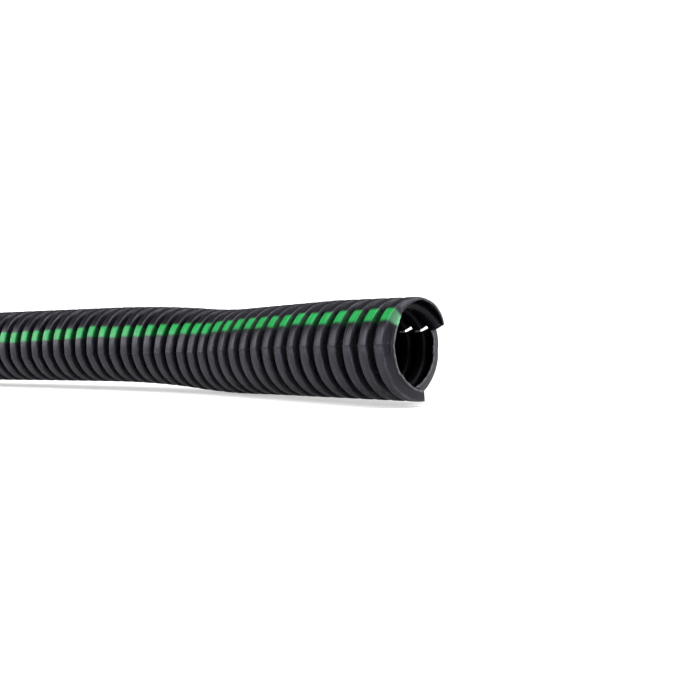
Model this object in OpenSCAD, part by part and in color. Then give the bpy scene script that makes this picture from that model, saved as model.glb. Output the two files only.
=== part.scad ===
// Split corrugated conduit: one moulded thermoplastic tube with crests and grooves in a row
// and one slit along its whole length. It lies on a level floor. The far end is cut square,
// the near end is bent to the front and was cut by hand, so its last crest is torn.
// The origin is the centre of the square-cut end. +X runs along the tube, +Z is up.

/* [Section] */
// Outside diameter, over the crests
od = 21.2; // [20:0.1:24]
// Clear bore, inside the grooves
bore = 16.5; // [14:0.1:17.5]
// Thickness of the wall
wall = 0.45; // [0.3:0.05:0.8]
// Distance from one crest to the next
pitch = 4.4; // [4:0.1:6]
// Width of the flat top of a crest
land = 2.2; // [1.6:0.1:2.6]
// Lean of a crest's sides, in degrees
flank = 9; // [4:1:14]
// Radius on the outer edges of a crest
edge = 0.35; // [0.1:0.05:0.6]

/* [Slit] */
// Width of the slit
slit = 0.7; // [0.3:0.1:2]
// Place of the slit behind the top of the straight run, in degrees
slit_at = 40; // [0:5:90]

/* [Length] */
// Crests in the straight run that lies on the floor
run_crests = 150; // [20:1:300]
// Crests in the straight run that rises to the bend
rise_crests = 43; // [10:1:60]
// Crests in the straight stretch at the near end, with the torn one
end_crests = 9; // [6:1:20]

/* [Torn end] */
// Angle round the tube where the last crest is torn off, from the slit down the back
torn_arc = 90; // [40:5:120]
// Slope of the hand cut across the last crest, in degrees
cut_slope = 17; // [0:1:25]

/* [Hidden] */
$fn = 96;

// The bend, as stretches: [crests, turn to the front, lift, twist of the slit down the back],
// with the angles in degrees and spread evenly over the crests of a stretch
bends = [
    [1, 0, 0.55, 0],
    [8, 4, -0.25, 6],
    [4, 2.5, -2.3, 2],
    [4, 5, -2.7, 9],
    [4, 10, 5.8, 5],
    [4, 1.5, -0.5, 2],
];
rise_joint = 1; // the rising run follows this many crests of the bend
links = [for (b = bends) for (i = [1:b[0]]) [b[1], b[2], b[3]]/b[0]];
function twist(n) = n == 0 ? 0 : links[n - 1][2] + twist(n - 1);

r_crest = od/2;
r_bore = bore/2;
r_groove = r_bore + wall;
lid = r_crest - wall;            // inner radius of a crest's channel
stem = r_groove + 0.35;          // a bent crest's sides stand upright below this radius
foot = r_bore + 0.45*wall;       // and end here, inside the groove's wall
lip = 0.2;                       // how far a bent groove's wall runs past the crest's sides
gap = 2*asin(slit/(r_crest + r_bore));   // angle of the slit, at the middle of the section
ease = 1;                        // the slit is this much wider each way in a bent groove
cut_side = 175;                  // side where the hand cut takes least, round from the slit
stub_left = 0.25;                // what the tear leaves of the groove's wall

// Half widths of a crest and of its channel at radius r
function half_out(r) = land/2 + (r_crest - r)*tan(flank);
function half_in(r) = half_out(r) - wall/cos(flank);
stub = pitch/2 - half_in(stem) + lip;    // half length of a bent groove's wall

// Rounded edge between a crest's top and its right-hand side
set_back = edge*tan((90 - flank)/2);
edge_points = [for (t = [90, (90 + flank)/2, flank])
    [r_crest - edge + edge*sin(t), land/2 - set_back + edge*cos(t)]];

function flipped(points) = [for (i = [len(points) - 1:-1:0]) [points[i][0], -points[i][1]]];
function moved(points, s) = [for (q = points) [q[0], q[1] + s]];

// Outside and inside of one crest, as [radius, place along the tube], from its right-hand side
function both_sides(side) = concat(flipped(side), side);
crest_outside = both_sides(concat(edge_points, [[r_groove, half_out(r_groove)]]));
crest_inside = both_sides([[lid, half_in(lid)], [r_bore, half_in(r_bore)]]);
bent_outside = both_sides(concat(edge_points, [[stem, half_out(stem)], [foot, half_out(stem)]]));
bent_inside = both_sides([[lid, half_in(lid)], [stem, half_in(stem)], [foot, half_in(stem)]]);
function reversed(points) = [for (i = [len(points) - 1:-1:0]) points[i]];

// Wall of a straight stretch of n crests, from place a to place b along the tube
function stretch_section(n, a, b) = concat(
    [[r_bore, a], [r_groove, a]],
    [for (i = [0:n - 1]) each moved(crest_outside, (i + 0.5)*pitch)],
    [[r_groove, b], [r_bore, b]],
    [for (i = [n - 1:-1:0]) each reversed(moved(crest_inside, (i + 0.5)*pitch))]);

// Turns a section round the tube's axis, along +X, with its slit behind the top by a given roll
module turned(roll, extra = 0)
    rotate([0, 90, 0]) rotate([0, 0, 180 - roll])
        rotate_extrude(angle = 360 - gap - 2*extra, start = gap/2 + extra) children();

module stretch(n, a, b, roll) turned(roll) polygon(stretch_section(n, a, b));

module crest(roll)
    turned(roll) polygon(concat(bent_outside, reversed(bent_inside)));

module groove(roll)
    turned(roll, ease) translate([r_bore, -stub]) square([wall, 2*stub]);

// One half of link i: half a pitch along, with half of its turn and lift
module half_link(i)
    translate([pitch/2, 0, 0]) rotate([0, -links[i][1]/2, -links[i][0]/2]) children();

// The tube from link i on: each crest and groove carries the rest
module tube_from(i) {
    half_link(i) {
        crest(slit_at + twist(i));
        half_link(i) after_link(i + 1);
    }
}

module after_link(n) {
    if (n == rise_joint) {
        stretch(rise_crests, -stub, rise_crests*pitch + stub, slit_at);
        translate([rise_crests*pitch, 0, 0]) tube_from(n);
    } else if (n == len(links)) {
        near_end(slit_at + twist(n));
    } else {
        groove(slit_at + twist(n));
        tube_from(n);
    }
}

// Straight stretch at the near end: the hand cut follows the last groove at the front, slopes
// across the last crest over the top, and follows the groove before it down the back
module near_end(roll) {
    last = (end_crests - 0.5)*pitch;
    difference() {
        stretch(end_crests, -stub, end_crests*pitch, roll);
        translate([last - pitch + half_out(r_groove) + stub_left, 0, 0]) torn_off(roll);
        translate([last + pitch/2, 0, 0]) sloped_cut(roll);
    }
}

module torn_off(roll)
    rotate([0, 90, 0]) rotate([0, 0, 180 - roll])
        rotate_extrude(angle = torn_arc, start = -torn_arc) square([od, 2*pitch]);

module sloped_cut(roll)
    rotate([0, 90, 0]) rotate([0, 0, 180 - roll + cut_side]) rotate([0, -cut_slope, 0])
        cylinder(r = 2*od, h = 2*od);

module conduit()
    color([0.16, 0.16, 0.18]) {
        stretch(run_crests, 0, run_crests*pitch + stub, slit_at);
        translate([run_crests*pitch, 0, 0]) tube_from(0);
    }

conduit();
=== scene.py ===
import math

import bmesh
import bpy
from mathutils import Euler, Matrix, Vector, noise


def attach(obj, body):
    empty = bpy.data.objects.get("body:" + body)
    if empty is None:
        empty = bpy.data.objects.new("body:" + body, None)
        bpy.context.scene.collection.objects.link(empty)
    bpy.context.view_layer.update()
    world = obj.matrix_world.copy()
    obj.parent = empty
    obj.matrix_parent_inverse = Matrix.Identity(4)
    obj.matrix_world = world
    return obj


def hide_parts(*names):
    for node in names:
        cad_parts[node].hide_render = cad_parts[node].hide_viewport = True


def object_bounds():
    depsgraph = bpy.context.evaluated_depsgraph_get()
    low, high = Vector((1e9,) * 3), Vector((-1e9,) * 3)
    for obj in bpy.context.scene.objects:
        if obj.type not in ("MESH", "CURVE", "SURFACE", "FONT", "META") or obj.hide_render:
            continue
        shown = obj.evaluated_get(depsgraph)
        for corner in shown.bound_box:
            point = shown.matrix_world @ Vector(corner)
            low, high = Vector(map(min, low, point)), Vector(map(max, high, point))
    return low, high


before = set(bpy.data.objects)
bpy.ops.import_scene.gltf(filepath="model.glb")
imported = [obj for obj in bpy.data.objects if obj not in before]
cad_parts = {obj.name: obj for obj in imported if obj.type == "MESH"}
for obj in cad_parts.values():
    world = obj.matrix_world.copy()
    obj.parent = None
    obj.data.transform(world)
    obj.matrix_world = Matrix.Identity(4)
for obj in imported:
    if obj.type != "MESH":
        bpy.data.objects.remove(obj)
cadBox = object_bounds()
print("frame loaded")

# The tube's way over the floor, as in the part's source, in metres and degrees
route = {
    "pitch": 0.0044,
    "runCrests": 150,
    "riseCrests": 43,
    "endCrests": 9,
    "slitAt": 40.0,        # behind the top, in the straight run
    "riseJoint": 1,
    # crests, turn to the front, lift, twist of the slit down the back
    "bends": [
        (1, 0, 0.55, 0),
        (8, 4, -0.25, 6),
        (4, 2.5, -2.3, 2),
        (4, 5, -2.7, 9),
        (4, 10, 5.8, 5),
        (4, 1.5, -0.5, 2),
    ],
}


def crestFrames():
    halfPitch = Matrix.Translation((route["pitch"] / 2, 0, 0))
    place = Matrix.Identity(4)
    frames = []

    def link(place, turn, lift, roll):
        # half of a crest's bend comes on each side of it
        half = Euler((0, -math.radians(lift) / 2, -math.radians(turn) / 2)).to_matrix().to_4x4()
        middle = place @ halfPitch @ half
        frames.append(middle @ Matrix.Rotation(-math.radians(roll), 4, "X"))
        return middle @ halfPitch @ half

    roll = route["slitAt"]
    for _ in range(route["runCrests"]):
        place = link(place, 0, 0, roll)
    bends = [(b[1] / b[0], b[2] / b[0], b[3] / b[0]) for b in route["bends"] for _ in range(b[0])]
    for number, (turn, lift, twist) in enumerate(bends, 1):
        place = link(place, turn, lift, roll)
        roll += twist
        if number == route["riseJoint"]:
            for _ in range(route["riseCrests"]):
                place = link(place, 0, 0, roll)
    for _ in range(route["endCrests"]):
        place = link(place, 0, 0, roll)
    return frames


frames = crestFrames()
print("route laid,", len(frames), "crests")


# The moulded wall, in metres and degrees
section = {
    "crest": 0.01056,
    "groove": 0.0087,
    "wall": 0.00045,
    "land": 0.0022,        # flat top of a crest
    "flank": 9.0,          # lean of its sides
    "topRadius": 0.00025,
    "footRadius": 0.00025,
    "slit": 0.0007,
}


def footHalf():
    lean = math.tan(math.radians(section["flank"]))
    return section["land"] / 2 + (section["crest"] - section["groove"]) * lean


def chain(first, last):
    # one crest's outline above the axis, repeated along X
    bm = bmesh.new()
    pitch, top, floor = route["pitch"], section["crest"], section["groove"]
    middle = (first + 0.5) * pitch
    outline = [(-pitch / 2, floor), (-footHalf(), floor), (-section["land"] / 2, top),
               (section["land"] / 2, top), (footHalf(), floor), (pitch / 2, floor)]
    points = [bm.verts.new((middle + x, 0, r)) for x, r in outline]
    for a, b in zip(points, points[1:]):
        bm.edges.new((a, b))
    for corners, radius in ((points[1:5:3], "footRadius"), (points[2:4], "topRadius")):
        setBack = section[radius] * math.tan(math.radians(90 - section["flank"]) / 2)
        bmesh.ops.bevel(bm, geom=corners, offset=setBack, segments=2, profile=0.5,
                        affect="VERTICES", material=-1)
    crest = bm.verts[:] + bm.edges[:]
    for number in range(1, last - first):
        copy = bmesh.ops.duplicate(bm, geom=crest)["geom"]
        bmesh.ops.translate(bm, verts=[v for v in copy if isinstance(v, bmesh.types.BMVert)],
                            vec=(number * pitch, 0, 0))
    bmesh.ops.remove_doubles(bm, verts=bm.verts[:], dist=1e-6)
    return bm


# Where the mould halves meet, on both sides of the tube, round it from the slit over the top
parting = {
    "angles": (152.0, 332.0),
    "width": 0.8,          # half width of the line, in degrees
    "ridge": 0.00004,
    "kink": 0.00024,       # how far the crests bow out of line towards it
    "reach": 18.0,         # and how far round they do
}

# The end that was cut by hand and torn: how far past the last crest's middle it ends, in metres,
# at angles round it from the slit over the top
handCut = {
    "line": [(2, -0.00060), (15, 0.0), (30, 0.00050), (45, 0.00095), (60, 0.00115), (75, 0.00124),
             (90, 0.00131), (105, 0.00138), (117, 0.00165), (130, 0.00190), (150, 0.00208),
             (170, 0.00200), (185, 0.00188), (191, 0.00182), (193, 0.00214), (215, 0.00214),
             (240, 0.00200), (246, 0.00165), (252, 0.00070), (256, -0.00060), (259, -0.00200),
             (261, -0.00275), (358, -0.00275)],
    "corners": (191.0, 193.0, 256.0),
    "rim": 0.0096,         # radius of the rim that follows the line
    "tornFrom": 238.0,
    "ragged": 0.00016,
    "grain": 0.31,         # how fine, per degree
    "closest": 0.05,       # degrees between two cuts
    "mend": 0.00002,       # what is merged again after them
}


def sectors(step):
    # angles of the facets' edges, from one side of the slit round to the other
    gap = math.degrees(section["slit"] / (section["crest"] + section["groove"]))
    stops = [gap]
    for angle in parting["angles"]:
        stops += [angle + parting["width"] * k for k in (-1, 0, 1)]
    stops = sorted(stops + list(handCut["corners"]) + [360 - gap])
    return [(b - a, math.ceil((b - a) / step)) for a, b in zip(stops, stops[1:])], gap


def angleOf(co):
    return math.degrees(math.atan2(-co.y, co.z)) % 360


def cutPlace(angle):
    for (a, low), (b, high) in zip(handCut["line"], handCut["line"][1:]):
        if angle <= b:
            place = low + (high - low) * max(angle - a, 0) / (b - a)
            break
    if angle > handCut["tornFrom"]:
        place += handCut["ragged"] * noise.noise(Vector((angle * handCut["grain"], 4.7, 0)))
    return place


def tearEnd(bm):
    # one cut through each facet's column, so that the rim follows the line
    middle = (len(frames) - 0.5) * route["pitch"]
    start = middle - route["pitch"]
    edges = sorted({round(angleOf(v.co), 2) for v in bm.verts if v.co.x > start})

    def onRim(angle):
        turn = math.radians(angle)
        return Vector((middle + cutPlace(angle), -handCut["rim"] * math.sin(turn),
                       handCut["rim"] * math.cos(turn)))

    seams = [e for e in bm.edges if min(v.co.x for v in e.verts) > start - 1e-6
             and abs(angleOf(e.verts[0].co) - angleOf(e.verts[1].co)) < 0.01]
    bmesh.ops.split_edges(bm, edges=seams)
    for a, b in zip(edges, edges[1:]):
        if b - a < handCut["closest"]:
            continue
        faces = [f for f in bm.faces if f.calc_center_median().x > start
                 and a < angleOf(f.calc_center_median()) < b]
        radial = onRim((a + b) / 2) * Vector((0, 1, 1))
        normal = (onRim(b) - onRim(a)).cross(radial).normalized()
        geom = set(faces) | {e for f in faces for e in f.edges} | {v for f in faces for v in f.verts}
        bmesh.ops.bisect_plane(bm, geom=list(geom), dist=1e-7, plane_co=onRim(a), clear_outer=True,
                               plane_no=normal if normal.x > 0 else -normal)
    # in a fixed order, so that the same points are merged each time
    bmesh.ops.remove_doubles(bm, verts=sorted(bm.verts, key=lambda v: v.co.to_tuple(7)),
                             dist=handCut["mend"])


def moulded(bm):
    # a fine ridge where the mould halves meet, towards which the crests bow a little
    for v in bm.verts:
        angle = angleOf(v.co)
        away = min(abs(angle - a) for a in parting["angles"])
        if away < parting["width"] / 2:
            radius = math.hypot(v.co.y, v.co.z)
            v.co.yz = Vector(v.co.yz) * (1 + parting["ridge"] / radius)
        if away < parting["reach"]:
            v.co.x -= min(parting["kink"] * (1 - away / parting["reach"]) ** 2, v.co.x)


# The loose end over the slit has settled a little: from which crest, how far, and round what angles
settled = {
    "from": 221.5,
    "depth": 0.0009,
    "middle": 50.0,
    "reach": 85.0,
}


def settle(bm):
    for v in bm.verts:
        along = (v.co.x / route["pitch"] - settled["from"]) / (len(frames) - settled["from"])
        around = 1 - abs(angleOf(v.co) - settled["middle"]) / settled["reach"]
        if along > 0 and around > 0:
            radius = math.hypot(v.co.y, v.co.z)
            ease = around * around * (3 - 2 * around)
            v.co.yz = Vector(v.co.yz) * (1 - settled["depth"] * along * ease / radius)


def unwrap(bm):
    # U once round the tube from the slit, V in crests along it
    uv = bm.loops.layers.uv.new("tube")
    for face in bm.faces:
        for loop in face.loops:
            loop[uv].uv = (angleOf(loop.vert.co) / 360, loop.vert.co.x / route["pitch"])


def bend(bm):
    # crests keep their shape and the grooves between them take the bend
    pitch = route["pitch"]
    share = footHalf() / pitch
    for v in bm.verts:
        along = v.co.x / pitch - 0.5
        k = min(max(math.floor(along), 0), len(frames) - 1)
        local = v.co - Vector(((k + 0.5) * pitch, 0, 0))
        place = frames[k] @ local
        if share < along - k and k + 1 < len(frames):
            t = min((along - k - share) / (1 - 2 * share), 1)
            following = frames[k + 1] @ (local - Vector((pitch, 0, 0)))
            place = place.lerp(following, t * t * (3 - 2 * t))
        v.co = place


# Crests of each piece and the angle of its facets
stretches = {
    "conduitRunFar": (0, 75, 10.0),
    "conduitRunNear": (75, 150, 10.0),
    "conduitRise": (150, 193, 6.5),
    "conduitEnd": (193, 227, 3.6),
}


def buildStretch(name, first, last, step):
    bm = chain(first, last)
    arcs, gap = sectors(step)
    geom = bm.verts[:] + bm.edges[:]
    bmesh.ops.rotate(bm, verts=bm.verts[:], matrix=Matrix.Rotation(math.radians(gap), 3, "X"))
    for angle, steps in arcs:
        geom = bmesh.ops.spin(bm, geom=geom, cent=(0, 0, 0), axis=(1, 0, 0),
                              angle=math.radians(angle), steps=steps)["geom_last"]
    bmesh.ops.remove_doubles(bm, verts=bm.verts[:], dist=1e-7)
    bmesh.ops.recalc_face_normals(bm, faces=bm.faces[:])
    if last == len(frames):
        tearEnd(bm)
    unwrap(bm)
    moulded(bm)
    settle(bm)
    bend(bm)
    mesh = bpy.data.meshes.new(name)
    bm.to_mesh(mesh)
    bm.free()
    mesh.shade_smooth()
    piece = bpy.data.objects.new(name, mesh)
    bpy.context.scene.collection.objects.link(piece)
    for material in (tubePlastic, tubeInside, cutEdge):
        mesh.materials.append(material)
    wall = piece.modifiers.new("wall", "SOLIDIFY")
    wall.thickness = section["wall"]
    wall.offset = -1
    wall.use_even_offset = True
    wall.material_offset = 1
    wall.material_offset_rim = 2
    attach(piece, "root")
    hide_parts("conduit")
    print(name, len(mesh.polygons), "faces")


def node(tree, kind, inputs=None, **settings):
    made = tree.nodes.new(kind)
    for name, value in settings.items():
        setattr(made, name, value)
    for socket, value in (inputs or {}).items():
        if isinstance(value, bpy.types.NodeSocket):
            tree.links.new(value, made.inputs[socket])
        else:
            made.inputs[socket].default_value = value
    return made


def calculate(tree, operation, *values):
    made = node(tree, "ShaderNodeMath", dict(enumerate(values)), operation=operation)
    return made.outputs[0]


def soften(tree, value, low, high, start=0.0, end=1.0):
    return node(tree, "ShaderNodeMapRange", {0: value, 1: low, 2: high, 3: start, 4: end},
                interpolation_type="SMOOTHSTEP").outputs[0]


def mixColour(tree, factor, a, b):
    made = node(tree, "ShaderNodeMix", {0: factor, 6: a, 7: b}, data_type="RGBA")
    return made.outputs[2]


def newGroup(name, inputs, outputs):
    tree = bpy.data.node_groups.new(name, "ShaderNodeTree")
    for label, kind, value in inputs:
        socket = tree.interface.new_socket(label, in_out="INPUT", socket_type="NodeSocket" + kind)
        socket.default_value = value
    for label, kind in outputs:
        tree.interface.new_socket(label, in_out="OUTPUT", socket_type="NodeSocket" + kind)
    return tree, tree.nodes.new("NodeGroupInput").outputs, tree.nodes.new("NodeGroupOutput").inputs


def useGroup(tree, name, **values):
    return node(tree, "ShaderNodeGroup", values, node_tree=bpy.data.node_groups[name]).outputs


def newMaterial(name, roughness, specular=0.5):
    material = bpy.data.materials.new(name)
    material.use_nodes = True
    tree = material.node_tree
    shader = tree.nodes["Principled BSDF"]
    shader.inputs["Specular IOR Level"].default_value = specular
    shader.inputs["Specular Tint"].default_value = finish["sheen"]
    shader.inputs["Roughness"].default_value = roughness
    return material, tree, shader


finish = {
    "black": (0.0016, 0.0015, 0.0022, 1),
    "blackWornAndLit": (0.0120, 0.0114, 0.0165, 1),  # tops of the crests painted paler: partly rubbed wear, partly painted light on the tops against painted shade in the grooves
    "rim": (0.060, 0.057, 0.075, 1),           # painted highlight along the crests' corners
    "green": (0.010, 0.30, 0.050, 1),
    "greenPale": (0.030, 0.46, 0.130, 1),
    # painted shade of the stripe in the flanks and grooves
    "greenPaintedShade": (0.001, 0.030, 0.006, 1),
    "dust": (0.16, 0.16, 0.15, 1),
    "cut": (0.130, 0.128, 0.140, 1),
    "cutGreen": (0.16, 0.52, 0.26, 1),
    "sheen": (0.86, 0.83, 1.0, 1),
    "roughness": 0.32,
    "stripeAt": 117.3,       # round the tube from the slit, in degrees
    "stripeHalf": 8.0,
    "stripeWander": 1.5,
    "stripeEdge": 2.4,
    "stripeCutEdge": 3.5,    # softer in the cut wall
    # painted shade along the parting line
    "partingPaintedShade": (0.001, 0.001, 0.0012, 1),
    "rings": (14.0, 17.0, 0.0),  # turned rings round the tube and in each crest
    "paleEndLitAndTorn": (0.30, 0.14),    # crests from the end where the stripe is painted paler: painted light on the last crest's flank and the pale of the torn edge
    "plasticBump": 0.00010,
    "insideBump": 0.00005,
    "cutBump": 0.00005,
}


# How moulded plastic varies: flow marks, fine grain and specks of dust, on Object coordinates
def makeGrain():
    tree, inputs, outputs = newGroup(
        "mouldedGrain",
        [("Grain", "Float", 5200.0), ("Flow", "Float", 210.0), ("Specks", "Float", 1500.0),
         ("Dust", "Float", 0.5)],
        [("Shade", "Float"), ("Dusty", "Float"), ("Height", "Float")])
    place = node(tree, "ShaderNodeTexCoord").outputs["Object"]
    fine = node(tree, "ShaderNodeTexNoise", {"Vector": place, "Scale": inputs["Grain"],
                                             "Detail": 2.0}).outputs[0]
    flow = node(tree, "ShaderNodeTexNoise", {"Vector": place, "Scale": inputs["Flow"],
                                             "Detail": 4.0, "Roughness": 0.6}).outputs[0]
    shade = soften(tree, calculate(tree, "ADD", calculate(tree, "MULTIPLY", flow, 0.7),
                                   calculate(tree, "MULTIPLY", fine, 0.3)), 0.34, 0.66)
    cells = node(tree, "ShaderNodeTexVoronoi", {"Vector": place, "Scale": inputs["Specks"]})
    size = calculate(tree, "MULTIPLY", node(tree, "ShaderNodeSeparateXYZ",
                                            {0: cells.outputs["Color"]}).outputs[0], inputs["Dust"])
    speck = soften(tree, cells.outputs["Distance"], calculate(tree, "SUBTRACT", size, 0.30),
                   calculate(tree, "SUBTRACT", size, 0.38))
    tree.links.new(shade, outputs["Shade"])
    tree.links.new(speck, outputs["Dusty"])
    tree.links.new(fine, outputs["Height"])


# Where the stripe lies round the tube, with soft wandering edges
def makeStripe():
    tree, inputs, outputs = newGroup(
        "colourStripe",
        [("Angle", "Float", 0.0), ("Along", "Float", 0.0), ("Edge", "Float", finish["stripeEdge"])],
        [("Stripe", "Float")])
    wander = node(tree, "ShaderNodeTexNoise", {"W": inputs["Along"], "Scale": 0.6, "Detail": 3.0,
                                               "Roughness": 0.6}, noise_dimensions="1D").outputs[0]
    middle = node(tree, "ShaderNodeMapRange",
                  {0: wander, 1: 0.25, 2: 0.75, 3: finish["stripeAt"] - finish["stripeWander"],
                   4: finish["stripeAt"] + finish["stripeWander"]}).outputs[0]
    away = calculate(tree, "ABSOLUTE", calculate(tree, "SUBTRACT", inputs["Angle"], middle))
    outer = calculate(tree, "ADD", finish["stripeHalf"], inputs["Edge"])
    inner = calculate(tree, "SUBTRACT", finish["stripeHalf"], inputs["Edge"])
    tree.links.new(soften(tree, away, outer, inner), outputs["Stripe"])


makeGrain()
makeStripe()


def tubeCoordinates(tree):
    # degrees round the tube from the slit, crests along it, and crests from a crest's middle
    uv = node(tree, "ShaderNodeUVMap", uv_map="tube").outputs[0]
    split = node(tree, "ShaderNodeSeparateXYZ", {0: uv})
    angle = calculate(tree, "MULTIPLY", split.outputs[0], 360.0)
    fromCrest = calculate(tree, "SUBTRACT", calculate(tree, "FRACT", split.outputs[1]), 0.5)
    return uv, angle, split.outputs[1], calculate(tree, "ABSOLUTE", fromCrest)


def stripeMask(tree, angle, along, edge=finish["stripeEdge"]):
    return useGroup(tree, "colourStripe", Angle=angle, Along=along, Edge=edge)["Stripe"]


def roughen(tree, shader, height, strength, distance):
    bump = node(tree, "ShaderNodeBump", {"Height": height, "Strength": strength, "Distance": distance})
    tree.links.new(bump.outputs[0], shader.inputs["Normal"])


def makeTubePlastic():
    material, tree, shader = newMaterial("tubePlastic", finish["roughness"])
    uv, angle, along, fromCrest = tubeCoordinates(tree)
    grain = useGroup(tree, "mouldedGrain")
    # rings left by the turned mould, finer across than along
    stretched = node(tree, "ShaderNodeVectorMath", {0: uv, 1: finish["rings"]},
                     operation="MULTIPLY").outputs[0]
    rings = node(tree, "ShaderNodeTexNoise", {"Vector": stretched, "Scale": 1.0, "Detail": 3.0,
                                              "Roughness": 0.65}, noise_dimensions="2D").outputs[0]
    ringShade = soften(tree, rings, 0.38, 0.72)
    corner = section["land"] / 2 / route["pitch"]
    # crest tops: the mask for painted light on the tops and painted shade in the flanks and grooves,
    # partly rubbed wear
    top = soften(tree, fromCrest, corner + 0.03, corner - 0.02)
    # painted highlight: a paler line along each crest's corner, standing in for the light the rounded
    # corners catch
    fromRim = calculate(tree, "ABSOLUTE", calculate(tree, "SUBTRACT", fromCrest, corner - 0.01))
    rim = soften(tree, fromRim, 0.040, 0.010)
    rim = calculate(tree, "MULTIPLY", rim, ringShade)
    # the tops painted paler, partly rubbed wear and partly painted light, varied by the rings and grain
    rubbed = calculate(tree, "ADD", calculate(tree, "MULTIPLY", ringShade, 0.6),
                       calculate(tree, "MULTIPLY", grain["Shade"], 0.4))
    wornAndLitTops = calculate(tree, "MULTIPLY", top, rubbed)
    base = mixColour(tree, wornAndLitTops, finish["black"], finish["blackWornAndLit"])
    base = mixColour(tree, rim, base, finish["rim"])
    green = mixColour(tree, ringShade, finish["green"], finish["greenPale"])
    # painted shade: the stripe darker off the crest tops, where the crests shade the flanks and grooves
    green = mixColour(tree, top, finish["greenPaintedShade"], green)
    # painted light: the stripe paler on the last crest's open flank, together with the pale of the torn
    # edge
    pales, paled = [len(frames) - back for back in finish["paleEndLitAndTorn"]]
    paleEndLitAndTorn = soften(tree, along, pales, paled, 0.0, 0.75)
    green = mixColour(tree, paleEndLitAndTorn, green, finish["cutGreen"])
    colour = mixColour(tree, stripeMask(tree, angle, along), base, green)
    # painted shade: a dark line across the crests at the parting line, standing in for the shading
    # there
    lines = [soften(tree, calculate(tree, "ABSOLUTE", calculate(tree, "SUBTRACT", angle, at)), 0.8, 0.2)
             for at in parting["angles"]]
    line = calculate(tree, "MULTIPLY", calculate(tree, "MAXIMUM", *lines), 0.85)
    colour = mixColour(tree, line, colour, finish["partingPaintedShade"])
    colour = mixColour(tree, calculate(tree, "MULTIPLY", grain["Dusty"], 0.5), colour, finish["dust"])
    tree.links.new(colour, shader.inputs["Base Color"])
    rough = calculate(tree, "ADD", soften(tree, rings, 0.35, 0.7, finish["roughness"] + 0.08,
                                          finish["roughness"] - 0.08),
                      calculate(tree, "MULTIPLY", line, 0.3))
    tree.links.new(rough, shader.inputs["Roughness"])
    height = calculate(tree, "ADD", calculate(tree, "MULTIPLY", grain["Height"], 0.35), rings)
    roughen(tree, shader, height, 0.5, finish["plasticBump"])
    return material


def makeTubeInside():
    material, tree, shader = newMaterial("tubeInside", 0.5, 0.18)
    grain = useGroup(tree, "mouldedGrain", Grain=2600.0, Dust=0.4)
    base = mixColour(tree, calculate(tree, "MULTIPLY", grain["Shade"], 0.25), finish["black"],
                     finish["blackWornAndLit"])
    base = mixColour(tree, calculate(tree, "MULTIPLY", grain["Dusty"], 0.25), base, finish["dust"])
    tree.links.new(base, shader.inputs["Base Color"])
    tree.links.new(soften(tree, grain["Shade"], 0.0, 1.0, 0.46, 0.56), shader.inputs["Roughness"])
    roughen(tree, shader, grain["Height"], 0.3, finish["insideBump"])
    return material


def makeCutEdge():
    # knife marks and the stripe's colour through the wall
    material, tree, shader = newMaterial("cutEdge", 0.45)
    angle, along = tubeCoordinates(tree)[1:3]
    grain = useGroup(tree, "mouldedGrain", Grain=9000.0, Flow=900.0, Dust=0.6)
    base = mixColour(tree, grain["Shade"], finish["cut"], finish["blackWornAndLit"])
    stripe = stripeMask(tree, angle, along, finish["stripeCutEdge"])
    colour = mixColour(tree, stripe, base, finish["cutGreen"])
    colour = mixColour(tree, calculate(tree, "MULTIPLY", grain["Dusty"], 0.6), colour, finish["dust"])
    tree.links.new(colour, shader.inputs["Base Color"])
    tree.links.new(soften(tree, grain["Shade"], 0.0, 1.0, 0.36, 0.55), shader.inputs["Roughness"])
    roughen(tree, shader, grain["Height"], 0.5, finish["cutBump"])
    return material


tubePlastic = makeTubePlastic()
tubeInside = makeTubeInside()
cutEdge = makeCutEdge()
print("materials mixed")

for name, values in stretches.items():
    buildStretch(name, *values)

# Where it stands from the near end's corner: past it, in front of it and above the floor
view = {
    "fromCorner": (0.04417, -0.12852, 0.01112),
    "yaw": 24.03,
    "lens": 38.57,
    "sensor": 36.0,
    "nearest": 0.005,
}
camera = bpy.data.objects.new("camera", bpy.data.cameras.new("camera"))
bpy.context.scene.collection.objects.link(camera)
nearCorner = Vector((cadBox[1].x, cadBox[0].y, cadBox[0].z))
camera.location = nearCorner + Vector(view["fromCorner"])
camera.rotation_euler = (math.pi / 2, 0, math.radians(view["yaw"]))
camera.data.lens = view["lens"]
camera.data.sensor_width = view["sensor"]
camera.data.clip_start = view["nearest"]
bpy.context.scene.camera = camera

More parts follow.
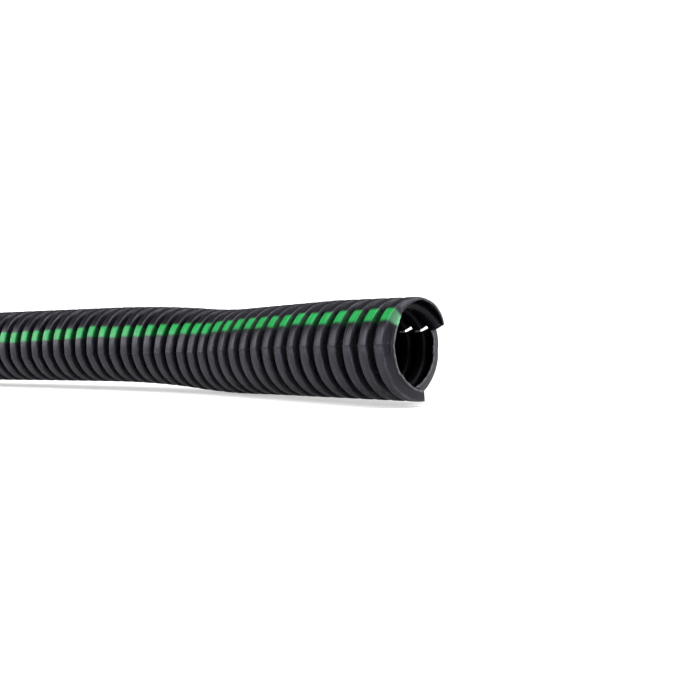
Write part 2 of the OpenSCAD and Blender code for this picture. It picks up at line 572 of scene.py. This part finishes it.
ground = {
    "size": 6.0,
    "colour": (0.9, 0.9, 0.9, 1),
    "roughness": 0.8,
    "glow": 0.45,          # so that the camera sees it white
}
floorMesh = bmesh.new()
bmesh.ops.create_grid(floorMesh, x_segments=1, y_segments=1, size=ground["size"])
mesh = bpy.data.meshes.new("floor")
floorMesh.to_mesh(mesh)
floorMesh.free()
floor = bpy.data.objects.new("floor", mesh)
bpy.context.scene.collection.objects.link(floor)
floor.location.z = cadBox[0].z
white = bpy.data.materials.new("paleFloor")
white.use_nodes = True
tree = white.node_tree
shader = tree.nodes["Principled BSDF"]
shader.inputs["Base Color"].default_value = ground["colour"]
shader.inputs["Roughness"].default_value = ground["roughness"]
shader.inputs["Emission Color"].default_value = (1, 1, 1, 1)
seen = node(tree, "ShaderNodeLightPath").outputs["Is Camera Ray"]
tree.links.new(calculate(tree, "MULTIPLY", seen, ground["glow"]), shader.inputs["Emission Strength"])
floor.data.materials.append(white)
print("camera and floor placed")

# Soft light round a dim tent: where it comes from, how wide it is in degrees, how strong
studio = {
    "tent": 0.14,
    "white": 1.6,          # what the camera sees behind the tube
    "lights": {
        "leftFront": ((-0.74, -0.67, 0.10), 64.0, 3.1),
        "top": ((0.35, -0.30, 0.88), 60.0, 2.6),
        "backRight": ((0.85, 0.50, 0.15), 60.0, 2.0),
    },
}
for name, (direction, wide, strength) in studio["lights"].items():
    light = bpy.data.lights.new(name, "SUN")
    light.angle = math.radians(wide)
    light.energy = strength
    lamp = bpy.data.objects.new(name, light)
    bpy.context.scene.collection.objects.link(lamp)
    lamp.rotation_euler = Vector(direction).to_track_quat("Z", "Y").to_euler()
world = bpy.data.worlds.new("studio")
world.use_nodes = True
tree = world.node_tree
seen = node(tree, "ShaderNodeLightPath").outputs["Is Camera Ray"]
strength = node(tree, "ShaderNodeMapRange", {0: seen, 1: 0.0, 2: 1.0, 3: studio["tent"],
                                             4: studio["white"]}).outputs[0]
tree.links.new(strength, tree.nodes["Background"].inputs["Strength"])
tree.nodes["Background"].inputs["Color"].default_value = (1, 1, 1, 1)
bpy.context.scene.world = world
bpy.context.scene.view_settings.view_transform = "Standard"
print("studio lit")

bpy.context.view_layer.update()
